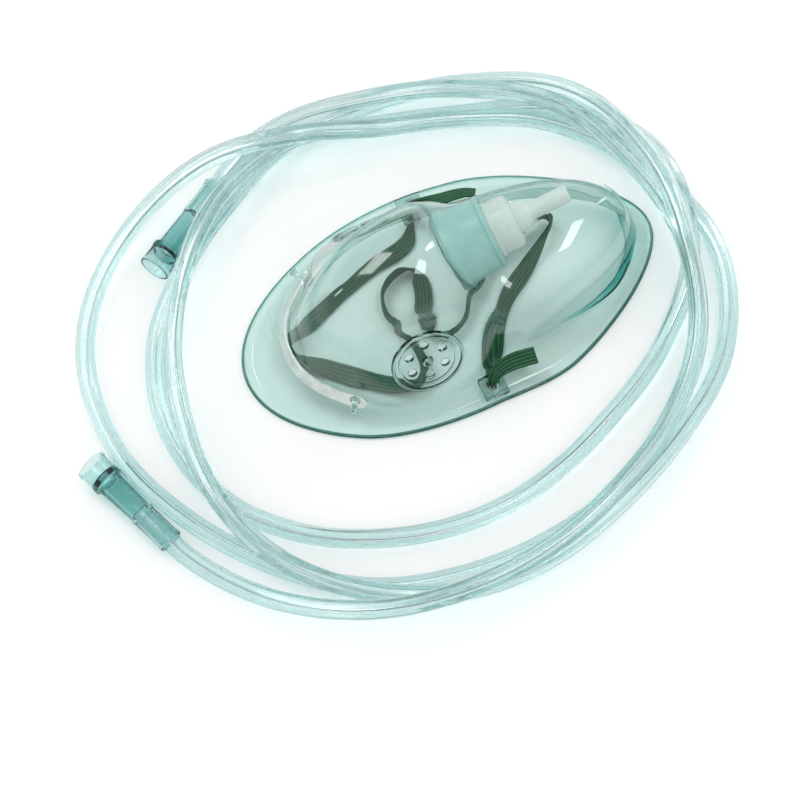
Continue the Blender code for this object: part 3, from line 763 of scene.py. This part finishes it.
def half_shell(name):
    points, faces, creases = shell_cage()
    obj = add_mesh(name, points, faces)
    bm = bmesh.new()
    bm.from_mesh(obj.data)
    bm.verts.ensure_lookup_table()
    layer = bm.edges.layers.float.new("crease_edge")
    for a, b in creases:
        bm.edges.get((bm.verts[a], bm.verts[b]))[layer] = 0.9
    bm.to_mesh(obj.data)
    bm.free()
    mirror = obj.modifiers.new("both halves", "MIRROR")
    mirror.use_axis = (False, True, False)
    mirror.use_clip = True
    mirror.merge_threshold = 0.00001
    smooth = obj.modifiers.new("smooth", "SUBSURF")
    smooth.levels = smooth.render_levels = 3
    bake_modifiers(obj)
    for vertex in obj.data.vertices:
        place = vertex.co / MM
        place.y += settled(place.x)
        vertex.co = flattened(place) * MM
    return obj


def flattened(place):
    """The point of the wall's inner surface, moved onto a vent's flat seat where one is near."""
    for side in (-1, 1):
        centre, normal = vent_frame(side)
        depth = (place - centre).dot(normal)
        away = (place - centre - normal * depth).length
        if abs(depth) < VENT_REACH and away < VENT_BLEND:
            share = min((VENT_BLEND - away) / (VENT_BLEND - VENT_FLAT), 1.0)
            raised = min(max(place.z - SEAT_BOTTOM, 0.0) / SEAT_RISE, 1.0)
            share = share * share * (3 - 2 * share) * raised
            place = place - normal * (depth + WALL) * share
    return place


def vent_frame(side=1):
    """A vent's centre and unit normal; the near vent has side -1."""
    centre, normal = (Vector((x, y * side, z)) for x, y, z in (VENT_CENTRE, VENT_NORMAL))
    return centre, normal.normalized()


def vent_parts():
    """The two raised rings, the boss and the six holes of the vent on the +Y side."""
    centre, normal = vent_frame()
    rim, root = VENT_RADIUS, -0.7
    raised = [
        (
            (rim, 0.6), (rim - 0.2, 1.0), (rim - 0.7, 1.1),
            (rim - 1.0, 0.9), (rim - 1.0, root), (rim, root),
        ),
        ((rim - 2.2, 0.4), (rim - 2.9, 0.4), (rim - 2.9, root), (rim - 2.2, root)),
        ((0.0, 1.1), (1.3, 1.1), (1.7, 0.7), (1.9, root), (0.0, root)),
    ]
    parts = []
    for number, profile in enumerate(raised):
        outline = rounded(profile, 0.12, 2)
        parts.append(turned(f"vent_{number}", outline, centre, normal, steps=72))
    holes = []
    across = Vector((1.0, 0.0, 0.0))
    across = (across - normal * across.dot(normal)).normalized()
    for number in range(VENT_HOLES):
        turn = Matrix.Rotation(math.pi * (number + 0.5) / 3, 3, normal)
        middle = centre + turn @ across * VENT_HOLE_CIRCLE
        ends = (middle - normal * 3, middle + normal * 3)
        holes.append(cylinder(f"vent_hole_{number}", VENT_HOLE_RADIUS, *ends, 32))
    return parts, holes


def ear_pad():
    half, bottom, top = EAR_SIZE / 2, 2.0, EAR_TOP
    cx, cy = EAR_X, EAR_Y
    corners = [
        (cx + sx * half, cy + sy * half, z)
        for z in (bottom, top)
        for sx, sy in ((-1, -1), (1, -1), (1, 1), (-1, 1))
    ]
    faces = [(3, 2, 1, 0), (4, 5, 6, 7), (0, 1, 5, 4), (1, 2, 6, 5), (2, 3, 7, 6), (3, 0, 4, 7)]
    pad = add_mesh("ear_pad", corners, faces)
    bevel = pad.modifiers.new("soft edges", "BEVEL")
    bevel.width = 0.5 * MM
    bevel.segments = 3
    bake_modifiers(pad)
    return pad


def stud():
    foot, tip = Vector(STUD_FOOT), Vector(STUD_TIP)
    length = (tip - foot).length
    profile = (
        (0.0, length), (0.9, length), (1.35, length - 0.4), (1.35, length - 0.9),
        (0.85, length - 1.5), (0.85, 0.0), (0.0, 0.0),
    )
    return turned("stud", rounded(profile, 0.15, 2), foot, tip - foot, steps=32)


def mask_shell():
    shell = half_shell("mask_shell_clear")
    edge = rim_line(shell)
    wall = shell.modifiers.new("wall", "SOLIDIFY")
    wall.thickness = WALL * MM
    wall.offset = 1.0
    bake_modifiers(shell)
    ends = (neck_point(-NECK_HOLE_REACH), neck_point(NECK_HOLE_REACH))
    neck_hole = cylinder("neck_hole", NECK_BORE_RADIUS + NECK_HOLE_MARGIN, *ends)
    apply_boolean(shell, "DIFFERENCE", [neck_hole])
    raised, holes = vent_parts()
    unions = both_sides(ear_pad()) + settled_pair(stud())
    for part in raised:
        unions += both_sides(part)
    apply_boolean(shell, "UNION", unions)
    ends = ((EAR_X, EAR_Y, -2.0), (EAR_X, EAR_Y, 8.0))
    ear_hole = cylinder("ear_hole", EAR_HOLE_RADIUS, *ends, 40)
    cuts = both_sides(ear_hole)
    for hole in holes:
        cuts += both_sides(hole)
    apply_boolean(shell, "DIFFERENCE", cuts)
    shell.data.materials.clear()
    shell.data.materials.append(LOOKS["shell"])
    shell.data.shade_smooth()
    shell.data.set_sharp_from_angle(angle=math.radians(38))
    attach(shell, "mask")
    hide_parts("mask_shell")
    rim_edge(edge)


def rim_line(shell):
    """The points in order round the open edge of the shell's inner surface, in millimetres."""
    bm = bmesh.new()
    bm.from_mesh(shell.data)
    first = next(edge for edge in bm.edges if edge.is_boundary)
    line, here, came = [first.verts[0].co.copy()], first.verts[1], first
    while here != first.verts[0]:
        line.append(here.co.copy())
        came = next(edge for edge in here.link_edges if edge.is_boundary and edge != came)
        here = came.other_vert(here)
    bm.free()
    return np.array(line) / MM


def rim_edge(line):
    """The shell's thick rounded lip, thinner along the far side. Its tint is far denser than the
    shell's: painted shade for the dark edge.
    """
    ahead = unit_rows(np.roll(line, -1, axis=0) - np.roll(line, 1, axis=0))
    up = np.array((0.0, 0.0, 1.0))
    out = np.cross(ahead, up)
    out *= np.sign(np.sum(out * line, axis=1))[:, None]
    radius = np.interp(line[:, 1], LIP_SPAN, LIP_RADII)
    middle = line + up * LIP_UP - out * LIP_IN
    around = 12
    points, faces = [], []
    for turn in np.linspace(0.0, 2 * math.pi, around, endpoint=False):
        points.append(middle + radius[:, None] * (math.cos(turn) * out + math.sin(turn) * up))
    count = len(line)
    for row in range(around):
        here, below = row * count, (row + 1) % around * count
        for k in range(count):
            n = (k + 1) % count
            faces.append((here + k, here + n, below + n, below + k))
    edge = add_mesh("mask_rim_edge", np.vstack(points), faces, LOOKS["rim"])
    outward(edge)
    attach(edge, "mask")


def chin_foot():
    """The thick fold where the chin bowl's wall meets the skirt, fading out at both ends. Its tint
    is far denser than the shell's: painted shade for the dark crescent at the foot of the wall.
    """
    knots = [(x, y, FOOT_HEIGHT) for x, y in CHIN_FOOT]
    middle = spread(knots, 1.0)
    ahead = unit_rows(np.gradient(middle, axis=0))
    up = np.array((0.0, 0.0, 1.0))
    out = np.cross(ahead, up)
    along = np.linspace(0.0, 1.0, len(middle))
    share = np.clip(np.sin(math.pi * along**0.75), 0.03, 1.0)[:, None]
    around = 16
    points, faces = [], []
    for turn in np.linspace(0.0, 2 * math.pi, around, endpoint=False):
        across, rise = FOOT_HALF_WIDTH * math.cos(turn), FOOT_HALF_DEPTH * math.sin(turn)
        points.append(middle + share * (across * out + rise * up))
    count = len(middle)
    for row in range(around):
        here, below = row * count, (row + 1) % around * count
        for k in range(count - 1):
            faces.append((here + k, here + k + 1, below + k + 1, below + k))
    faces.append(tuple(row * count for row in range(around)))
    faces.append(tuple(row * count + count - 1 for row in reversed(range(around))))
    fold = add_mesh("chin_bowl_foot", np.vstack(points), faces, LOOKS["foot"])
    outward(fold)
    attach(fold, "mask")


def outward(obj):
    """Turns the faces of a closed mesh to point outwards."""
    bm = bmesh.new()
    bm.from_mesh(obj.data)
    bmesh.ops.recalc_face_normals(bm, faces=bm.faces)
    bm.to_mesh(obj.data)
    bm.free()


def neck():
    root, mouth = NECK_ROOT, NECK_MOUTH
    profile = (
        (NECK_MOUTH_RADIUS + 0.45, mouth),
        (NECK_MOUTH_RADIUS + 0.55, mouth - 1.3),
        (NECK_MOUTH_RADIUS, mouth - 1.8),
        (NECK_ROOT_RADIUS - 0.2, root + 3.4),
        (NECK_ROOT_RADIUS + 0.5, root + 2.8),
        (NECK_ROOT_RADIUS + 0.5, root + 1.2),
        (NECK_ROOT_RADIUS + 0.1, root + 0.6),
        (NECK_ROOT_RADIUS, root),
        (NECK_BORE_RADIUS, root),
        (NECK_BORE_RADIUS, mouth),
    )
    outline, ahead = rounded(profile, 0.3), neck_direction()
    made = turned("inlet_neck", outline, NECK_AXIS_POINT, ahead, LOOKS["neck"], 96)
    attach(made, "mask")


def inlet_adapter():
    step = NECK_MOUTH + 7.7
    tip = step + 17.1
    profile = (
        (1.9, tip),
        (2.35, tip - 0.1),
        (2.7, tip - 0.7),
        (2.72, step + 5.4),
        (3.0, step + 4.6),
        (4.3, step + 3.0),
        (4.7, step + 2.4),
        (4.7, step + 0.3),
        (6.6, step),
        (7.7, step - 0.5),
        (8.3, step - 1.6),
        (8.3, NECK_MOUTH + 0.9),
        (8.8, NECK_MOUTH + 0.4),
        (8.85, NECK_MOUTH - 9.0),
        (7.45, NECK_MOUTH - 9.0),
        (7.0, step - 2.2),
        (6.3, step - 1.5),
        (3.2, step - 1.0),
        (1.7, step + 2.0),
        (1.6, tip - 0.3),
    )
    outline, ahead = rounded(profile, 0.35), neck_direction()
    adapter = turned("inlet_adapter", outline, NECK_AXIS_POINT, ahead, LOOKS["inlet"], 96, 45)
    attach(adapter, "inlet")
    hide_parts("inlet_connector")


def nose_clip():
    form = half_shell("form")
    middle = spread(CLIP_ROUTE, CLIP_STEP)
    middle = np.vstack([middle * (1, -1, 1), middle[-2::-1]])
    middle[:, 1] += np.array([settled(x) for x in middle[:, 0]])
    rows = CLIP_ROWS
    points, faces = [], []
    for number, (x, y, z) in enumerate(middle):
        from_end = min(number, len(middle) - 1 - number)
        share = math.sqrt(1 - (1 - min(from_end / CLIP_END, 1.0)) ** 2) * 0.6 + 0.4
        half = CLIP_WIDTH / 2 * share
        for row in range(rows + 1):
            points.append((x, y, z + half * (2 * row / rows - 1)))
    width = rows + 1
    for column in range(len(middle) - 1):
        for row in range(rows):
            a = column * width + row
            faces.append((a, a + 1, a + width + 1, a + width))
    clip = add_mesh("nose_strip", points, faces, LOOKS["clip"])
    wrap = clip.modifiers.new("on the wall", "SHRINKWRAP")
    wrap.target = form
    wrap.wrap_mode = "ABOVE_SURFACE"
    wrap.offset = (WALL + CLIP_GAP) * MM
    thick = clip.modifiers.new("thickness", "SOLIDIFY")
    thick.thickness = CLIP_THICKNESS * MM
    thick.offset = 1.0
    bake_modifiers(clip)
    foot, tip = Vector(STUD_FOOT), Vector(STUD_TIP)
    slot_cutter = cylinder("clip_slot", 1.7, foot, tip + (tip - foot), 32)
    apply_boolean(clip, "DIFFERENCE", settled_pair(slot_cutter))
    bpy.data.objects.remove(form)
    edges = clip.modifiers.new("soft edges", "BEVEL")
    edges.width = 0.12 * MM
    edges.segments = 2
    edges.limit_method = "ANGLE"
    bake_modifiers(clip)
    clip.data.shade_smooth()
    clip.data.set_sharp_from_angle(angle=math.radians(50))
    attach(clip, "mask")
    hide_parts("nose_clip")


def strap_sides(route):
    points = np.array([knot[:3] for knot in route], float)
    ahead = np.gradient(points, axis=0)
    sides, last = [], None
    for direction, (*_, tilt) in zip(ahead, route):
        direction = Vector(direction).normalized()
        level = Vector((-direction.y, direction.x, 0.0))
        if level.length < 0.4:
            level = last
        if last and level.dot(last) < 0:
            level = -level
        last = level.normalized()
        sides.append(Matrix.Rotation(math.radians(tilt), 3, direction) @ last)
    return sides


def elastic_strap():
    """The ribbed band: five ribs across, squeezed together where the band goes through a hole."""
    sides = strap_sides(STRAP_ROUTE)
    knots = [(*knot[:4], *side) for knot, side in zip(STRAP_ROUTE, sides)]
    line = spread(knots, STRAP_STEP)
    middle = line[:, :3]
    ahead = unit_rows(np.gradient(middle, axis=0))
    along = np.sum(line[:, 4:7] * ahead, axis=1)[:, None]
    across = unit_rows(line[:, 4:7] - ahead * along)
    out = np.cross(ahead, across)
    travelled = travelled_to(middle)
    columns = STRAP_COLUMNS
    offsets = np.linspace(-1.0, 1.0, columns)
    ribs = STRAP_RIB * np.cos(STRAP_RIBS * math.pi * offsets)
    edge = np.sqrt(np.clip(1 - np.abs(offsets) ** 14, 0.02, 1))
    points, faces, uvs = [], [], []
    for top in (1, -1):
        for place, side, up, share, at in zip(middle, across, out, line[:, 3], travelled):
            half = STRAP_WIDTH / 2 * share
            thick = (STRAP_THICKNESS / 2 - 0.1 + ribs) * edge
            fold = STRAP_CURL * (1 - share) * np.cos(offsets * math.pi * 2)
            points.append(
                place + (offsets * half)[:, None] * side + (top * thick + fold)[:, None] * up
            )
            uvs += [(offset * STRAP_WIDTH / 2, at) for offset in offsets]
    points = np.vstack(points)
    rings = len(middle)
    under = rings * columns
    for ring in range(rings - 1):
        for k in range(columns - 1):
            a = ring * columns + k
            faces.append((a, a + columns, a + columns + 1, a + 1))
            a += under
            faces.append((a, a + 1, a + columns + 1, a + columns))
        a, b = ring * columns, ring * columns + columns - 1
        faces.append((a, a + under, a + under + columns, a + columns))
        faces.append((b, b + columns, b + under + columns, b + under))
    last = (rings - 1) * columns
    for k in range(columns - 1):
        faces.append((k, k + 1, k + 1 + under, k + under))
        faces.append((last + k, last + k + under, last + k + 1 + under, last + k + 1))
    strap = add_mesh("elastic_head_strap", points, faces, LOOKS["strap"], 60)
    layer = strap.data.uv_layers.new(name="UVMap")
    for loop in strap.data.loops:
        layer.data[loop.index].uv = uvs[loop.vertex_index]
    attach(strap, "mask")
    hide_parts("elastic_strap")


camera()
studio()
tubing_set()
mask_shell()
chin_foot()
neck()
inlet_adapter()
nose_clip()
elastic_strap()
